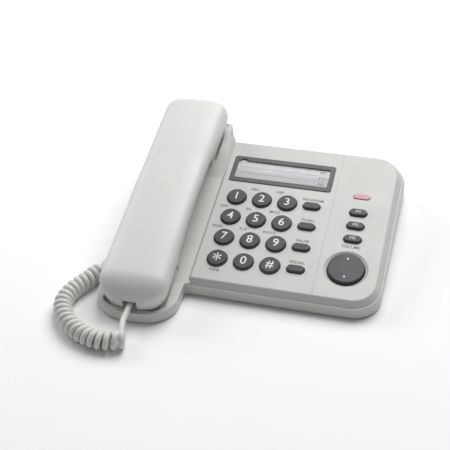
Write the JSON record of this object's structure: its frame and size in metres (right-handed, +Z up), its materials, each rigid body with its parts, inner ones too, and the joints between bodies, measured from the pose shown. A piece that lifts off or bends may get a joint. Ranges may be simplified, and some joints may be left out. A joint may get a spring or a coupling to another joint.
{
  "type": "corded desk telephone",
  "caption": "Corded desk telephone: wedge base with keypad, card window and volume rocker, handset in a cradle, and a curly handset cord.",
  "frame": {"origin": "middle of the base's footprint on the table, without the free cord", "axes": "+X to the keypad's right, +Y to the back, where the line socket is, +Z up"},
  "size_m": [0.22, 0.2286, 0.0681],
  "materials": {
    "shell": "fine-textured moulded housing, warm off-white",
    "key": "satin dark grey moulded keys",
    "trim": "satin dark grey frame",
    "lamp": "translucent red-pink lens",
    "clear": "clear moulded plastic",
    "card": "white card with ruled lines",
    "silicone": "grey silicone rubber",
    "board": "green solder mask over glass-fibre board",
    "steel": "zinc-plated steel",
    "dark_plastic": "black moulded plastic",
    "rubber": "matt black rubber",
    "cord": "off-white flexible cord jacket"
  },
  "bodies": {
    "base": {"base_bottom": "shell", "base_jack": "dark_plastic", "base_plug": "clear", "base_screws": "steel", "base_top": "shell", "board_screws": "steel", "card_cover": "clear", "card_frame": "trim", "cord_coil": "cord", "cord_lead_base": "cord", "dial_mode_switch": "dark_plastic", "hook_switch": "dark_plastic", "index_card": "card", "keypad_mat": "silicone", "lamp_led": "lamp", "lamp_lens": "lamp", "line_jack": "dark_plastic", "main_board": "board", "ringer": "dark_plastic", "ringer_switch": "dark_plastic", "rubber_feet": "rubber"},
    "handset": {"handset_upper": "shell", "handset_lower": "shell", "handset_screws": "steel", "receiver": "dark_plastic", "receiver_gasket": "silicone", "microphone": "steel", "mic_boot": "silicone", "handset_weight": "steel", "handset_jack": "dark_plastic", "handset_plug": "clear", "cord_lead_handset": "cord"},
    "key_1": {"key_1": "key"},
    "key_2": {"key_2": "key"},
    "key_3": {"key_3": "key"},
    "key_4": {"key_4": "key"},
    "key_5": {"key_5": "key"},
    "key_6": {"key_6": "key"},
    "key_7": {"key_7": "key"},
    "key_8": {"key_8": "key"},
    "key_9": {"key_9": "key"},
    "key_star": {"key_star": "key"},
    "key_0": {"key_0": "key"},
    "key_hash": {"key_hash": "key"},
    "redial_key": {"redial_key": "key"},
    "pause_key": {"pause_key": "key"},
    "flash_key": {"flash_key": "key"},
    "program_key": {"program_key": "key"},
    "memory_key_1": {"memory_key_1": "key"},
    "memory_key_2": {"memory_key_2": "key"},
    "memory_key_3": {"memory_key_3": "key"},
    "volume_rocker": {"volume_rocker": "key"},
    "hook_plunger": {"hook_plunger": "shell"},
    "dial_mode_knob": {"dial_mode_knob": "trim"},
    "ringer_knob": {"ringer_knob": "trim"}
  },
  "joints": [
    {"name": "handset_lift", "type": "slide", "parent": "base", "child": "handset", "axis": [0, -0.1994, 0.9799], "range_m": [0, 0.06]},
    {"name": "hook_rise", "type": "slide", "parent": "base", "child": "hook_plunger", "axis": [0, -0.1994, 0.9799], "range_m": [0, 0.004]},
    {"name": "key_1_press", "type": "slide", "parent": "base", "child": "key_1", "axis": [0, 0.1994, -0.9799], "range_m": [0, 0.0012], "stiffness_N_per_m": 400, "springref_m": -0.001},
    {"name": "key_2_press", "type": "slide", "parent": "base", "child": "key_2", "axis": [0, 0.1994, -0.9799], "range_m": [0, 0.0012], "stiffness_N_per_m": 400, "springref_m": -0.001},
    {"name": "key_3_press", "type": "slide", "parent": "base", "child": "key_3", "axis": [0, 0.1994, -0.9799], "range_m": [0, 0.0012], "stiffness_N_per_m": 400, "springref_m": -0.001},
    {"name": "key_4_press", "type": "slide", "parent": "base", "child": "key_4", "axis": [0, 0.1994, -0.9799], "range_m": [0, 0.0012], "stiffness_N_per_m": 400, "springref_m": -0.001},
    {"name": "key_5_press", "type": "slide", "parent": "base", "child": "key_5", "axis": [0, 0.1994, -0.9799], "range_m": [0, 0.0012], "stiffness_N_per_m": 400, "springref_m": -0.001},
    {"name": "key_6_press", "type": "slide", "parent": "base", "child": "key_6", "axis": [0, 0.1994, -0.9799], "range_m": [0, 0.0012], "stiffness_N_per_m": 400, "springref_m": -0.001},
    {"name": "key_7_press", "type": "slide", "parent": "base", "child": "key_7", "axis": [0, 0.1994, -0.9799], "range_m": [0, 0.0012], "stiffness_N_per_m": 400, "springref_m": -0.001},
    {"name": "key_8_press", "type": "slide", "parent": "base", "child": "key_8", "axis": [0, 0.1994, -0.9799], "range_m": [0, 0.0012], "stiffness_N_per_m": 400, "springref_m": -0.001},
    {"name": "key_9_press", "type": "slide", "parent": "base", "child": "key_9", "axis": [0, 0.1994, -0.9799], "range_m": [0, 0.0012], "stiffness_N_per_m": 400, "springref_m": -0.001},
    {"name": "key_star_press", "type": "slide", "parent": "base", "child": "key_star", "axis": [0, 0.1994, -0.9799], "range_m": [0, 0.0012], "stiffness_N_per_m": 400, "springref_m": -0.001},
    {"name": "key_0_press", "type": "slide", "parent": "base", "child": "key_0", "axis": [0, 0.1994, -0.9799], "range_m": [0, 0.0012], "stiffness_N_per_m": 400, "springref_m": -0.001},
    {"name": "key_hash_press", "type": "slide", "parent": "base", "child": "key_hash", "axis": [0, 0.1994, -0.9799], "range_m": [0, 0.0012], "stiffness_N_per_m": 400, "springref_m": -0.001},
    {"name": "redial_key_press", "type": "slide", "parent": "base", "child": "redial_key", "axis": [0, 0.1994, -0.9799], "range_m": [0, 0.0012], "stiffness_N_per_m": 400, "springref_m": -0.001},
    {"name": "pause_key_press", "type": "slide", "parent": "base", "child": "pause_key", "axis": [0, 0.1994, -0.9799], "range_m": [0, 0.0012], "stiffness_N_per_m": 400, "springref_m": -0.001},
    {"name": "flash_key_press", "type": "slide", "parent": "base", "child": "flash_key", "axis": [0, 0.1994, -0.9799], "range_m": [0, 0.0012], "stiffness_N_per_m": 400, "springref_m": -0.001},
    {"name": "program_key_press", "type": "slide", "parent": "base", "child": "program_key", "axis": [0, 0.1994, -0.9799], "range_m": [0, 0.0012], "stiffness_N_per_m": 400, "springref_m": -0.001},
    {"name": "memory_key_1_press", "type": "slide", "parent": "base", "child": "memory_key_1", "axis": [0, 0.1994, -0.9799], "range_m": [0, 0.0012], "stiffness_N_per_m": 400, "springref_m": -0.001},
    {"name": "memory_key_2_press", "type": "slide", "parent": "base", "child": "memory_key_2", "axis": [0, 0.1994, -0.9799], "range_m": [0, 0.0012], "stiffness_N_per_m": 400, "springref_m": -0.001},
    {"name": "memory_key_3_press", "type": "slide", "parent": "base", "child": "memory_key_3", "axis": [0, 0.1994, -0.9799], "range_m": [0, 0.0012], "stiffness_N_per_m": 400, "springref_m": -0.001},
    {"name": "volume_tilt", "type": "hinge", "parent": "base", "child": "volume_rocker", "pos_m": [0.0699, -0.03261, 0.01479], "axis": [1, 0, 0], "range_deg": [-3, 3], "stiffness_Nm_per_rad": 0.5},
    {"name": "dial_mode_slide", "type": "slide", "parent": "base", "child": "dial_mode_knob", "axis": [1, 0, 0], "range_m": [-0.002, 0.002]},
    {"name": "ringer_slide", "type": "slide", "parent": "base", "child": "ringer_knob", "axis": [1, 0, 0], "range_m": [-0.002, 0.002]}
  ],
  "couplings": [
    {"joint": "hook_rise", "follows": "handset_lift", "ratio": 0.0666}
  ]
}
